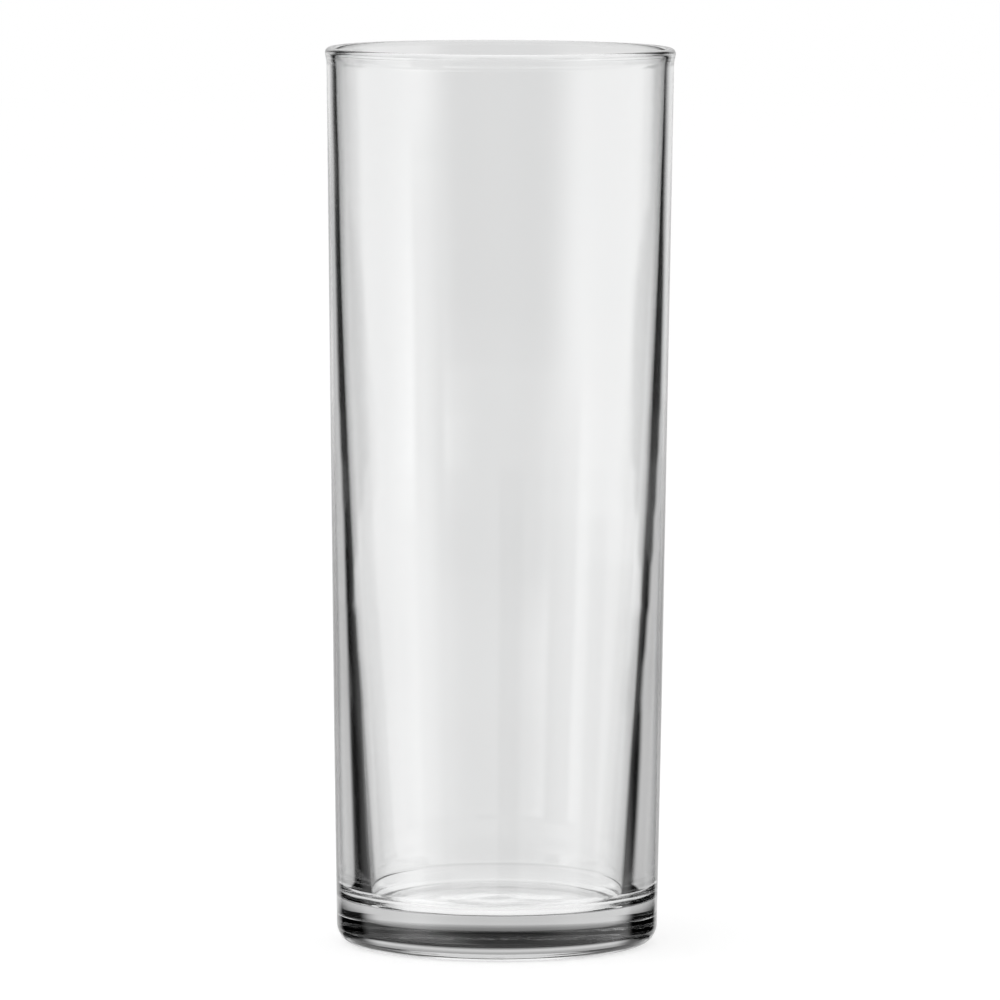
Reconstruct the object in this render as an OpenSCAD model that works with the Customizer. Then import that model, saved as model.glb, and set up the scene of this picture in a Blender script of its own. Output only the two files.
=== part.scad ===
// Tall straight drinking glass, pressed and blown in one piece.
// The glass stands on the XY plane with its axis along +Z, in millimetres.

/* [Overall] */
// Height of the glass from the foot ring to the top of the rim
height = 163; // [140:1:190]

/* [Rim] */
// Outside diameter of the bead round the mouth
rim_d = 63.5; // [60:0.1:70]
// Thickness of the bead, from its inside to its outside
bead_t = 2.2; // [1.9:0.1:3]
// Height of the bead, down to where it has run into the wall
bead_h = 2.7; // [2.4:0.1:4]

/* [Wall] */
// Outside diameter of the wall just under the bead
wall_top_d = 62.9; // [60:0.1:66]
// Thickness of the wall just under the bead
wall_top_t = 1.6; // [1:0.1:1.8]
// Height at which the inside of the wall changes its slope
wall_mid_z = 80; // [65:1:100]
// Thickness of the wall at that height
wall_mid_t = 3.1; // [2.2:0.1:4]
// Thickness of the wall where it runs into the rounded edge of the floor
wall_low_t = 5.8; // [4.5:0.1:7]
// Height at which the outside of the wall changes its slope
knee_z = 40; // [25:1:60]
// Outside diameter of the wall at that height
knee_d = 59.9; // [58:0.1:62]

/* [Base] */
// Outside diameter at the heel, where the wall turns under
heel_d = 58.5; // [56:0.1:60]
// Radius of the heel, between the wall and the foot ring
heel_r = 3.3; // [2:0.1:4.5]
// Height of the middle of the inside floor above the foot ring
floor_z = 8.8; // [6:0.1:12]
// How much higher the floor is in its middle than at its edge
floor_rise = 0.5; // [0.2:0.1:1]
// Radius of the rounded edge between the inside floor and the wall
floor_edge_r = 4.5; // [3:0.1:7]
// Diameter of the hollow in the underside, inside the foot ring
hollow_d = 44; // [30:1:48]
// Height of that hollow at its middle
hollow_h = 0.6; // [0.3:0.1:2]

/* [Hidden] */
$fn = 180;
// How far the cutting shapes run past the glass
past = 1;
bead_r = bead_t / 2;
bead_c = [rim_d / 2 - bead_r, height - bead_r];
wall_top = [wall_top_d / 2, height - bead_h];
knee = [knee_d / 2, knee_z];
heel_c = [heel_d / 2 - heel_r, heel_r];
// Corners of the inside, each its wall's thickness in from the outside
inside_top = wall_top - [wall_top_t, 0];
inside_mid = [outside_r(wall_mid_z) - wall_mid_t, wall_mid_z];
// The floor is a shallow dome, and its rounded edge touches that dome
floor_w = outside_r(floor_z - floor_rise + floor_edge_r) - wall_low_t - floor_edge_r;
dome_r = (pow(floor_w, 2) + pow(floor_rise, 2)) / (2 * floor_rise);
dome_c = [0, floor_z - dome_r];
edge_c = [floor_w, dome_c.y + sqrt(pow(dome_r + floor_edge_r, 2) - pow(floor_w, 2))];
floor_end = dome_c + (edge_c - dome_c) * dome_r / norm(edge_c - dome_c);
// Radius of the shallow dome in the underside, from its width and height
hollow_r = (pow(hollow_d / 2, 2) + pow(hollow_h, 2)) / (2 * hollow_h);

// Outside radius of the straight wall at height z
function outside_r(z) = lookup(z, [[heel_r, heel_d / 2], [knee_z, knee_d / 2], [wall_top.y, wall_top.x]]);

// Where a line from p touches the circle of radius r about c, on its left (1) or right (-1) as seen from c
function touch(p, c, r, side) =
    let (way = p - c, turn = atan2(way.y, way.x) + side * acos(r / norm(way)))
    c + r * [cos(turn), sin(turn)];

// Half section of the outside, filled to the axis, up to the middle of the bead
module outside_half() {
    polygon([
        [0, 0],
        [heel_c.x, 0],
        touch(knee, heel_c, heel_r, -1),
        knee,
        wall_top,
        touch(wall_top, bead_c, bead_r, 1),
        bead_c,
        [0, bead_c.y],
    ]);
    translate(heel_c) circle(r = heel_r);
}

// Half section of the inside, from the floor out through the mouth
module inside_half() {
    difference() {
        polygon([
            [0, floor_end.y],
            floor_end,
            touch(inside_mid, edge_c, floor_edge_r, -1),
            inside_mid,
            inside_top,
            touch(inside_top, bead_c, bead_r, -1),
            bead_c,
            [bead_c.x, height + past],
            [0, height + past],
        ]);
        translate(dome_c) circle(r = dome_r);
    }
    translate(edge_c) circle(r = floor_edge_r);
}

// Half section of the glass itself: wall, floor, bead and the hollow underside
module glass_half() {
    difference() {
        union() {
            difference() {
                outside_half();
                inside_half();
            }
            translate(bead_c) circle(r = bead_r);
        }
        translate([0, hollow_h - hollow_r]) circle(r = hollow_r);
    }
}

// The whole glass
module tumbler() {
    color([0.93, 0.95, 0.95, 0.35]) rotate_extrude() glass_half();
}

tumbler();
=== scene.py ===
import math

import bmesh
import bpy
from mathutils import Matrix, Vector


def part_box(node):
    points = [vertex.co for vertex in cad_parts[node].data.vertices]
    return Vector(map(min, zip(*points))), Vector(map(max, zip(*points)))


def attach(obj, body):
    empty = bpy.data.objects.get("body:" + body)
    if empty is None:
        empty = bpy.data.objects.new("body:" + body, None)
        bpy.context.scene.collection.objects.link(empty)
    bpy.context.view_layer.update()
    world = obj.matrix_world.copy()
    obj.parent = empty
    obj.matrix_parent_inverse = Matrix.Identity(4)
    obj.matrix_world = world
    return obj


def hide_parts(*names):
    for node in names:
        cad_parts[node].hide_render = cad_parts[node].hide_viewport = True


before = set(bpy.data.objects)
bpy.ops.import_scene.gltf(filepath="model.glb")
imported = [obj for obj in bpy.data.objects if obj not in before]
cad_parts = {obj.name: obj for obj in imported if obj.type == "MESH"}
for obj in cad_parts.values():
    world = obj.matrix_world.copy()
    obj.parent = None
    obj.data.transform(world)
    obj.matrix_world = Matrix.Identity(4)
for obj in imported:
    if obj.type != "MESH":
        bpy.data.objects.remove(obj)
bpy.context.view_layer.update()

mm = 0.001
nodeLow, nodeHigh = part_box("tumbler")
rimRadius = (nodeHigh.x - nodeLow.x) / 2 / mm
glassHeight = (nodeHigh.z - nodeLow.z) / mm


class Wire:
    # a socket that can be used in sums, so that shader maths reads as maths
    def __init__(self, tree, socket=None):
        self.tree = tree
        self.socket = socket

    # any node: its type, its settings, its sockets' values or wires, and the output that is wanted
    def add(self, kind, settings=None, sockets=None, out=0):
        node = self.tree.nodes.new(kind)
        for name, value in (settings or {}).items():
            setattr(node, name, value)
        for name, value in (sockets or {}).items():
            self.feed(node.inputs[name], value)
        return Wire(self.tree, node.outputs[out])

    def feed(self, socket, value):
        if isinstance(value, Wire):
            self.tree.links.new(value.socket, socket)
        else:
            socket.default_value = value

    def sum(self, operation, left, right=0.0):
        return self.add("ShaderNodeMath", {"operation": operation}, {0: left, 1: right})

    def __add__(self, other):
        return self.sum("ADD", self, other)

    def __sub__(self, other):
        return self.sum("SUBTRACT", self, other)

    def __rsub__(self, other):
        return self.sum("SUBTRACT", other, self)

    def __mul__(self, other):
        return self.sum("MULTIPLY", self, other)

    __radd__ = __add__
    __rmul__ = __mul__

    # 0 below low, 1 above high, smooth between
    def rise(self, low, high):
        sockets = {"Value": self, "From Min": low, "From Max": high}
        return self.add("ShaderNodeMapRange", {"interpolation_type": "SMOOTHSTEP"}, sockets)

    # 0 below place, 1 above it, with a soft step
    def edge(self, place, soft):
        return self.rise(place - soft, place + soft)

    # 1 between low and high, with soft ends
    def between(self, low, high, soft):
        return self.edge(low, soft) * (1 - self.edge(high, soft))

    # 1 where a counted number is at least this many
    def atLeast(self, many):
        return self.sum("GREATER_THAN", self, many - 0.5)

    # held between 0 and 1
    def held(self):
        return self.add("ShaderNodeClamp", sockets={"Value": self})

    # a value read off a line through (place, value) stops
    def along(self, stops):
        first, last = stops[0][0], stops[-1][0]
        top = max(value for place, value in stops)
        ramp = self.add("ShaderNodeValToRGB", sockets={0: (self - first) * (1 / (last - first))})
        marks = ramp.socket.node.color_ramp.elements
        for k, (place, value) in enumerate(stops):
            mark = marks[k] if k in (0, 1) else marks.new(1)
            mark.position = (place - first) / (last - first)
            mark.color = (value / top, value / top, value / top, 1)
        return ramp * top

    # this where mask is 0, other where mask is 1
    def swap(self, mask, other):
        return self * (1 - mask) + mask * other


# outline of the tumbler

tumblerSize = {
    "beadThick": 1.76,
    "beadTopOutR": 1.0,
    "beadTopInR": 0.64,
    # the bead runs into the wall between two depths under the top: depth, bend
    "beadOut": [(1.12, 0.3), (2.67, 7.7)],
    "beadIn": [(1.01, 2.8), (2.4, 4.1)],
    "underBeadR": 31.434,
    "kneeZ": 40.0,
    "kneeR": 29.8,
    "bellyBend": 3000.0,
    "heelR": 29.12,
    "heelBend": 3.4,
    "wallTop": 1.6,
    "inside": [(29.25, 135.0, 3000), (27.35, 80.0, 2000), (25.13, 44.0, 1500)],
    "floorZ": 7.78,
    "floorRise": 0.69,
    "floorEdgeR": 23.16,
    # the floor's edge lies this much inside and below its corner, the drop as a share of the rise
    "floorEdgeIn": 0.2,
    "floorEdgeDrop": 0.35,
    # halfway point of the floor: radius, share of the rise, bend
    "floorMid": (11, 0.55, 60),
    "floorBend": 3.28,
    "hollowR": 21.96,
    "hollowTall": 0.15,
    # halfway point of the hollow: share of its radius, share of its height, bend
    "hollowMid": (0.45, 0.86, 40),
    "ringBend": 0.52,
}
latheSteps = 256  # round the glass
bendStep = math.radians(4)
straight = math.radians(0.002)  # a turn too small to round
leastBendSteps = 6
runStep = 1.6  # longest straight step along the outline
onAxis = 1e-6  # a radius that counts as none


# points along a path of corners (r, z, bend), each corner rounded to its bend
def bentPath(corners):
    points = []
    spots = [Vector(c[:2]) for c in corners]
    for i, (spot, corner) in enumerate(zip(spots, corners)):
        bend = corner[2]
        if bend == 0 or i in (0, len(spots) - 1):
            points.append(spot)
            continue
        before = (spots[i - 1] - spot).normalized()
        after = (spots[i + 1] - spot).normalized()
        half = before.angle(after) / 2
        if math.pi / 2 - half < straight:
            points.append(spot)
            continue
        middle = spot + (before + after).normalized() * bend / math.sin(half)
        turn = math.pi - 2 * half
        first = spot + before * bend / math.tan(half) - middle
        way = 1 if before.x * after.y - before.y * after.x < 0 else -1
        steps = max(leastBendSteps, math.ceil(turn / bendStep))
        for k in range(steps + 1):
            points.append(middle + Matrix.Rotation(way * turn * k / steps, 2) @ first)
    return points


# the same path with long straight runs cut into short ones
def evenPath(points):
    path = [points[0]]
    for point in points[1:]:
        start = path[-1]
        parts = max(1, math.ceil((point - start).length / runStep))
        path += [start.lerp(point, k / parts) for k in range(1, parts + 1)]
    return path


def tumblerOutline(s):
    top = glassHeight
    rimIn = rimRadius - s["beadThick"]
    insideTop = s["underBeadR"] - s["wallTop"]
    (outHigh, outHighBend), (outLow, outLowBend) = s["beadOut"]
    (inHigh, inHighBend), (inLow, inLowBend) = s["beadIn"]
    hollowOut, hollowUp, hollowBend = s["hollowMid"]
    floorOut, floorUp, floorMidBend = s["floorMid"]
    floorEdge = (s["floorEdgeR"] - s["floorEdgeIn"], s["floorZ"] - s["floorEdgeDrop"] * s["floorRise"])
    corners = [
        (0, s["hollowTall"], 0),
        (s["hollowR"] * hollowOut, s["hollowTall"] * hollowUp, hollowBend),
        (s["hollowR"], 0, s["ringBend"]),
        (s["heelR"], 0, s["heelBend"]),
        (s["kneeR"], s["kneeZ"], s["bellyBend"]),
        (s["underBeadR"], top - outLow, outLowBend),
        (rimRadius, top - outHigh, outHighBend),
        (rimRadius, top, s["beadTopOutR"]),
        (rimIn, top, s["beadTopInR"]),
        (rimIn, top - inHigh, inHighBend),
        (insideTop, top - inLow, inLowBend),
        *s["inside"],
        (*floorEdge, s["floorBend"]),
        (floorOut, s["floorZ"] + floorUp * s["floorRise"], floorMidBend),
        (0, s["floorZ"] + s["floorRise"], 0),
    ]
    return evenPath(bentPath(corners))


# slow waves left in the glass by pressing and blowing
pressWaves = {
    # how deep, and each wave's pace along x, y and z and its start
    "wall": 0.02,
    "wallWaves": [(0.11, 0.07, 0.16, 0.3), (-0.09, 0.13, 0.11, 1.9), (0.15, -0.12, -0.07, 4.1)],
    "floor": 0.02,
    "floorWaves": [(0.71, 0.38, 0.2, 0.8), (-0.45, 0.83, 0.3, 2.6),
                   (0.9, -0.52, 0.1, 5.0), (0.3, 0.6, 0.2, 3.7)],
    # heights between which the floor's waves give way to the wall's
    "floorFade": (6.4, 16.0),
    # depths under the rim between which the wall's waves begin
    "rimFade": (10.0, 20.0),
    # radii between which the hollow's waves end
    "hollowFade": (12.0, 20.0),
}


def waveAt(waves, x, y, z):
    return sum(math.sin(a * x + b * y + c * z + d) for a, b, c, d in waves) / len(waves)


def softStep(value, low, high):
    part = min(1, max(0, (value - low) / (high - low)))
    return part * part * (3 - 2 * part)


# depth of the waves at a point of the inside or the hollow; the outside, the foot ring and the rim stay true
def waveDepth(s, inside, x, y, z):
    low = 1 - softStep(z, *s["floorFade"])
    depth = s["floor"] * low * waveAt(s["floorWaves"], x, y, z)
    if inside:
        begun = softStep(glassHeight - z, *s["rimFade"])
        return depth + s["wall"] * (1 - low) * begun * waveAt(s["wallWaves"], x, y, z)
    return depth * (1 - softStep(math.hypot(x, y), *s["hollowFade"]))


def lathe(name, path, waves):
    shape = bmesh.new()
    rings = []
    topRing = max(range(len(path)), key=lambda i: path[i].y)
    for i, (r, z) in enumerate(path):
        if r < onAxis:
            lift = waveDepth(waves, i > topRing, 0, 0, z)
            rings.append([shape.verts.new((0, 0, (z + lift) * mm))])
            continue
        run = (path[min(i + 1, len(path) - 1)] - path[i - 1]).normalized()
        ring = []
        for k in range(latheSteps):
            turn = 2 * math.pi * k / latheSteps
            x, y = r * math.cos(turn), r * math.sin(turn)
            depth = waveDepth(waves, i > topRing, x, y, z)
            wider = (r + depth * run.y) / r
            ring.append(shape.verts.new((x * wider * mm, y * wider * mm, (z - depth * run.x) * mm)))
        rings.append(ring)
    for lower, upper in zip(rings, rings[1:]):
        for k in range(latheSteps):
            nextK = (k + 1) % latheSteps
            if len(lower) == 1:
                shape.faces.new((lower[0], upper[nextK], upper[k]))
            elif len(upper) == 1:
                shape.faces.new((lower[k], lower[nextK], upper[0]))
            else:
                shape.faces.new((lower[k], lower[nextK], upper[nextK], upper[k]))
    bmesh.ops.recalc_face_normals(shape, faces=shape.faces)
    mesh = bpy.data.meshes.new(name)
    shape.to_mesh(mesh)
    shape.free()
    mesh.shade_smooth()
    piece = bpy.data.objects.new(name, mesh)
    bpy.context.collection.objects.link(piece)
    return piece


# clear glass

clearGlass = {
    "bend": 1.52,
    "soak": 10.0,
    "soakColor": (0.5, 0.5, 0.5, 1),
    # faint streaks in the melt
    "clear": (1, 1, 1, 1),
    "streak": (0.985, 0.99, 0.99, 1),
    "streakScale": 60.0,
    "streakDetail": 2.0,
    # the foot ring is scuffed from standing: the radii over which that begins, and its top, in metres
    "scuffEdge": (0.0218, 0.0226),
    "scuffTop": 0.0004,
    "scuffRough": 0.35,
    "scuffScale": 900.0,
    "scuffDetail": 4.0,
    "scuffSpread": (0.35, 0.7),
    "scuffStrength": 0.2,
    "scuffDepth": 0.00005,
    "shadowTint": (0.9, 0.9, 0.9, 1),
}


def clearGlassMaterial(s):
    material = bpy.data.materials.new("clear_glass")
    material.use_nodes = True
    tree = material.node_tree
    tree.nodes.clear()
    start = Wire(tree)
    spot = start.add("ShaderNodeTexCoord", out="Object")
    apart = start.add("ShaderNodeSeparateXYZ", sockets={0: spot}).socket.node.outputs
    x, y, height = (Wire(tree, socket) for socket in apart)
    edgeFrom, edgeTo = s["scuffEdge"]
    ring = (x * x + y * y).rise(edgeFrom ** 2, edgeTo ** 2) * (1 - height.rise(0, s["scuffTop"]))
    streaks = start.add("ShaderNodeTexNoise", sockets={
        "Vector": spot, "Scale": s["streakScale"], "Detail": s["streakDetail"]})
    colors = {0: streaks, 6: s["clear"], 7: s["streak"]}
    tint = start.add("ShaderNodeMix", {"data_type": "RGBA"}, colors, out=2)
    scuffs = start.add("ShaderNodeTexNoise", sockets={
        "Vector": spot, "Scale": s["scuffScale"], "Detail": s["scuffDetail"]})
    worn = ring * scuffs.rise(*s["scuffSpread"])
    marks = start.add("ShaderNodeBump", sockets={
        "Strength": s["scuffStrength"], "Distance": s["scuffDepth"], "Height": scuffs * worn})
    glass = start.add("ShaderNodeBsdfPrincipled", sockets={
        "Base Color": tint,
        "Roughness": worn * s["scuffRough"],
        "IOR": s["bend"],
        "Transmission Weight": 1.0,
        "Normal": marks,
    })
    rays = start.add("ShaderNodeLightPath", out="Is Shadow Ray")
    clear = start.add("ShaderNodeBsdfTransparent", sockets={"Color": s["shadowTint"]})
    both = start.add("ShaderNodeMixShader", sockets={0: rays, 1: glass, 2: clear})
    output = tree.nodes.new("ShaderNodeOutputMaterial")
    start.feed(output.inputs["Surface"], both)
    soak = start.add("ShaderNodeVolumeAbsorption", sockets={"Color": s["soakColor"], "Density": s["soak"]})
    start.feed(output.inputs["Volume"], soak)
    return material


path = tumblerOutline(tumblerSize)
tumbler = lathe("tumbler_glass", path, pressWaves)
tumbler.data.materials.append(clearGlassMaterial(clearGlass))
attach(tumbler, "root")
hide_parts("tumbler")
print("tumbler:", len(path), "rings,", len(tumbler.data.polygons), "faces")

# pale floor

floorLook = {
    "half": 3.0,
    "squares": 4,
    "white": 0.9,
    "glow": 0.55,
}


def paleFloor(s):
    shape = bmesh.new()
    bmesh.ops.create_grid(shape, x_segments=s["squares"], y_segments=s["squares"], size=s["half"])
    mesh = bpy.data.meshes.new("floor")
    shape.to_mesh(mesh)
    shape.free()
    floor = bpy.data.objects.new("floor", mesh)
    bpy.context.collection.objects.link(floor)
    material = bpy.data.materials.new("pale_floor")
    material.use_nodes = True
    tree = material.node_tree
    tree.nodes.clear()
    start = Wire(tree)
    white = (s["white"],) * 3 + (1,)
    matt = start.add("ShaderNodeBsdfDiffuse", sockets={"Color": white})
    camera = start.add("ShaderNodeLightPath", out="Is Camera Ray")
    glow = start.add("ShaderNodeEmission", sockets={"Strength": camera * s["glow"]})
    both = start.add("ShaderNodeAddShader", sockets={0: matt, 1: glow})
    output = tree.nodes.new("ShaderNodeOutputMaterial")
    start.feed(output.inputs["Surface"], both)
    floor.data.materials.append(material)
    floor.visible_glossy = False
    floor.visible_transmission = False


paleFloor(floorLook)
print("floor laid")

# studio, as the glass sees it: a white sweep behind, dark flags beside it, soft boxes left and right

# sides are degrees from straight behind the glass, positive to the right, and lifts degrees above the level
studio = {
    # brightness of the white sweep by lift
    "sweep": [(-90, 1.1), (-42, 0.94), (-34, 0.91), (-24, 0.88), (-17, 0.87), (-13.5, 0.74), (-11, 0.87),
              (-6, 0.85), (-1, 0.84), (5, 0.79), (12, 1.3), (25, 1.4), (45, 0.9), (65, 0.3), (90, 0.05)],
    # the sweep is darker toward its sides: from side, to side, back to full beyond, by how much;
    # then how soft that end is, and the lifts over which the fade begins
    "sweepFade": (14.7, 26.4, 63, 0.22),
    "fadeSoft": 3,
    "fadeLow": (-40, -30),
    # dim corners high up at both sides: beyond side, above lift, glow, then how soft in side and lift
    "highSides": (57, 18, 0.25),
    "highSoft": (6, 4),
    # soft boxes: from side, to side, low, high, glow at eye level, how much more below
    "boxes": [(-155, -105, -12, -3.3, 0.35, 2.2), (55, 146, -12, 50, 1.2, 0.3)],
    "boxSoft": 16.4,
    "boxLowSoft": 1.2,
    "boxHighSoft": 6,
    "boxFall": -0.1,
    # tall flags left and right of the sweep: which way, then the inner and the outer edge by lift
    "flags": [
        (-1, [(-22, 31.5), (-17, 8), (-14, 29.5), (-12, 32.5), (-10, 30.5), (-8, 28),
              (-6, 25), (-3, 24), (5, 26.5), (20, 26)],
         [(-22, 68), (-17, 95.5), (-14, 58), (-12, 46.5), (-10, 72.5), (-8, 66.5),
          (-6, 54), (-3, 53), (5, 53), (20, 57)]),
        (1, [(-22, 34.5), (-17, 14.5), (-14, 43), (-12, 35.5), (-10, 28), (-8, 23),
              (-6, 27.5), (-3, 28), (5, 26.5), (20, 21)],
         [(-22, 48.5), (-17, 93), (-14, 62.5), (-12, 48.5), (-10, 68.5), (-8, 71),
          (-6, 53.5), (-3, 54), (5, 64.5), (20, 71)]),
    ],
    "flagLow": -23,
    "flagHigh": 30,
    "flagLowSoft": 3,
    "flagHighSoft": 8,
    "flagSoft": 4.4,
    "flagOuterSoft": 5.9,
    "flagDark": 0.004,
    # narrow flags that give the edges their lines from the side and from behind:
    # from side, to side, low, high, then how soft in side and lift
    "thinFlags": [(92, 108, -21, -12), (162, 180, -21, -12), (-140, -116, -21, -6.5)],
    "thinSoft": (3.5, 1.2),
    # dim strips that only light reflected often inside the glass shows:
    # from side, to side, low, high, how often, glow, then how soft in side and lift
    "deepFlags": [(-45, -16, -13, -6.5, 3, 0.1), (16, 45, -13, -6.5, 3, 0.1),
                  (-115, -50, 15, 42, 7, 0.02), (50, 115, 15, 42, 7, 0.02)],
    "deepSoft": (4, 2),
    # the dim room in front of the glass: beyond the left side, beyond the right side, above a lift, glow
    "front": (-136.7, 134.2, -10, 0.1),
    "frontSoft": 1,
    # what the solid base shows: the sweep by lift, and dark ends from side to side above a lift
    "baseSweep": [(-60, 1), (-30, 0.81), (-4, 0.76), (4, 0.79), (8, 0.5), (14, 0.32), (28, 0.25)],
    "baseEnds": [(-80, -42), (42, 80)],
    "baseEndsLow": -5.5,
    "baseEndsSoft": (7, 0.7),
    "ambient": 0.5,
}


def studioWorld(s):
    world = bpy.data.worlds.new("studio")
    bpy.context.scene.world = world
    world.use_nodes = True
    tree = world.node_tree
    tree.nodes.clear()
    start = Wire(tree)
    way = start.add("ShaderNodeTexCoord", out="Generated")
    apart = start.add("ShaderNodeSeparateXYZ", sockets={0: way})
    x, y, z = (Wire(tree, apart.socket.node.outputs[k]) for k in range(3))
    side = start.sum("ARCTAN2", x, y) * math.degrees(1)
    lift = start.sum("ARCSINE", z) * math.degrees(1)
    out = start.sum("ABSOLUTE", side)
    rays = start.add("ShaderNodeLightPath").socket.node.outputs
    camera = Wire(tree, rays["Is Camera Ray"])
    through = Wire(tree, rays["Is Transmission Ray"])
    mirrored = Wire(tree, rays["Is Glossy Ray"]) * (1 - through)
    level = lift.along(s["sweep"])
    fadeFrom, fadeTo, fadeEnd, fadeBy = s["sweepFade"]
    fade = out.rise(fadeFrom, fadeTo) * (1 - out.edge(fadeEnd, s["fadeSoft"])) * lift.rise(*s["fadeLow"])
    level = level * (1 - fade * fadeBy)
    highSide, highLift, highGlow = s["highSides"]
    highSideSoft, highLiftSoft = s["highSoft"]
    level = level.swap(out.edge(highSide, highSideSoft) * lift.edge(highLift, highLiftSoft), highGlow)
    for first, last, low, high, glow, more in s["boxes"]:
        mask = side.between(first, last, s["boxSoft"]) * lift.edge(low, s["boxLowSoft"])
        mask = mask * (1 - lift.edge(high, s["boxHighSoft"]))
        level = level.swap(mask, (lift * s["boxFall"]).held() * more + glow)
    flagTall = lift.edge(s["flagLow"], s["flagLowSoft"]) * (1 - lift.edge(s["flagHigh"], s["flagHighSoft"]))
    for hand, inner, outer in s["flags"]:
        mask = (side * hand - lift.along(inner)).edge(0, s["flagSoft"])
        mask = mask * (1 - (side * hand - lift.along(outer)).edge(0, s["flagOuterSoft"]))
        level = level.swap(mask * flagTall, s["flagDark"])
    thinSideSoft, thinLiftSoft = s["thinSoft"]
    for first, last, low, high in s["thinFlags"]:
        mask = side.between(first, last, thinSideSoft) * lift.between(low, high, thinLiftSoft)
        level = level.swap(mask * through, s["flagDark"])
    turns = Wire(tree, rays["Glossy Depth"])
    deepSideSoft, deepLiftSoft = s["deepSoft"]
    for first, last, low, high, least, glow in s["deepFlags"]:
        mask = side.between(first, last, deepSideSoft) * lift.between(low, high, deepLiftSoft)
        level = level.swap(mask * turns.atLeast(least), glow)
    frontLeft, frontRight, frontLow, frontGlow = s["front"]
    mask = (1 - side.between(frontLeft, frontRight, s["boxSoft"])) * lift.edge(frontLow, s["frontSoft"])
    level = level.swap(mask, frontGlow)
    # rays that only cross the solid base: in and out once, with no reflection
    crossings = Wire(tree, rays["Transmission Depth"])
    solid = crossings.atLeast(2) * (1 - crossings.atLeast(3)) * (1 - turns.atLeast(1))
    base = lift.along(s["baseSweep"])
    endsSideSoft, endsLiftSoft = s["baseEndsSoft"]
    for first, last in s["baseEnds"]:
        mask = side.between(first, last, endsSideSoft) * lift.edge(s["baseEndsLow"], endsLiftSoft)
        base = base.swap(mask, s["flagDark"])
    level = level.swap(solid, base)
    plain = 1 - camera - through - mirrored
    strength = camera + (through + mirrored) * level + plain * s["ambient"]
    white = (1, 1, 1, 1)
    light = start.add("ShaderNodeBackground", sockets={"Color": white, "Strength": strength})
    output = tree.nodes.new("ShaderNodeOutputWorld")
    start.feed(output.inputs["Surface"], light)


studioWorld(studio)

topLamp = {"power": 1.2, "size": 0.8, "place": (-0.35, -0.3, 0.9), "aim": (0, 0, 0.05)}


def softLamp(name, s):
    lamp = bpy.data.lights.new(name, "AREA")
    lamp.energy = s["power"]
    lamp.size = s["size"]
    lampObject = bpy.data.objects.new(name, lamp)
    bpy.context.collection.objects.link(lampObject)
    lampObject.location = s["place"]
    aim = Vector(s["aim"]) - Vector(s["place"])
    lampObject.rotation_euler = aim.to_track_quat("-Z", "Y").to_euler()
    lampObject.visible_glossy = False
    lampObject.visible_transmission = False


softLamp("top_lamp", topLamp)
print("studio lit")

# camera at the photograph's angle

# metres, degrees and pixels, with the sensor in millimetres
photoCamera = {
    "away": 1.7074,
    "right": 0.00026,
    "high": 0.2397,
    "pitch": -5.317,
    "roll": 0.229,
    "focalPixels": 9442.0,
    "framePixels": 1000.0,
    "sensor": 36.0,
    "reach": 50,
}


def photoView(s):
    lens = bpy.data.cameras.new("photo_camera")
    lens.sensor_width = s["sensor"]
    lens.lens = s["focalPixels"] / s["framePixels"] * s["sensor"]
    lens.clip_end = s["reach"]
    camera = bpy.data.objects.new("photo_camera", lens)
    bpy.context.collection.objects.link(camera)
    camera.location = (s["right"], -s["away"], s["high"])
    tilt = Matrix.Rotation(math.radians(90 + s["pitch"]), 4, "X")
    roll = Matrix.Rotation(math.radians(s["roll"]), 4, "Z")
    camera.rotation_euler = (tilt @ roll).to_euler()
    bpy.context.scene.camera = camera


photoView(photoCamera)

lightBounces = 32
mirrorBounces = 10  # reflections inside the glass
render = bpy.context.scene
render.view_settings.view_transform = "Standard"
render.cycles.max_bounces = lightBounces
render.cycles.transmission_bounces = lightBounces
render.cycles.glossy_bounces = mirrorBounces
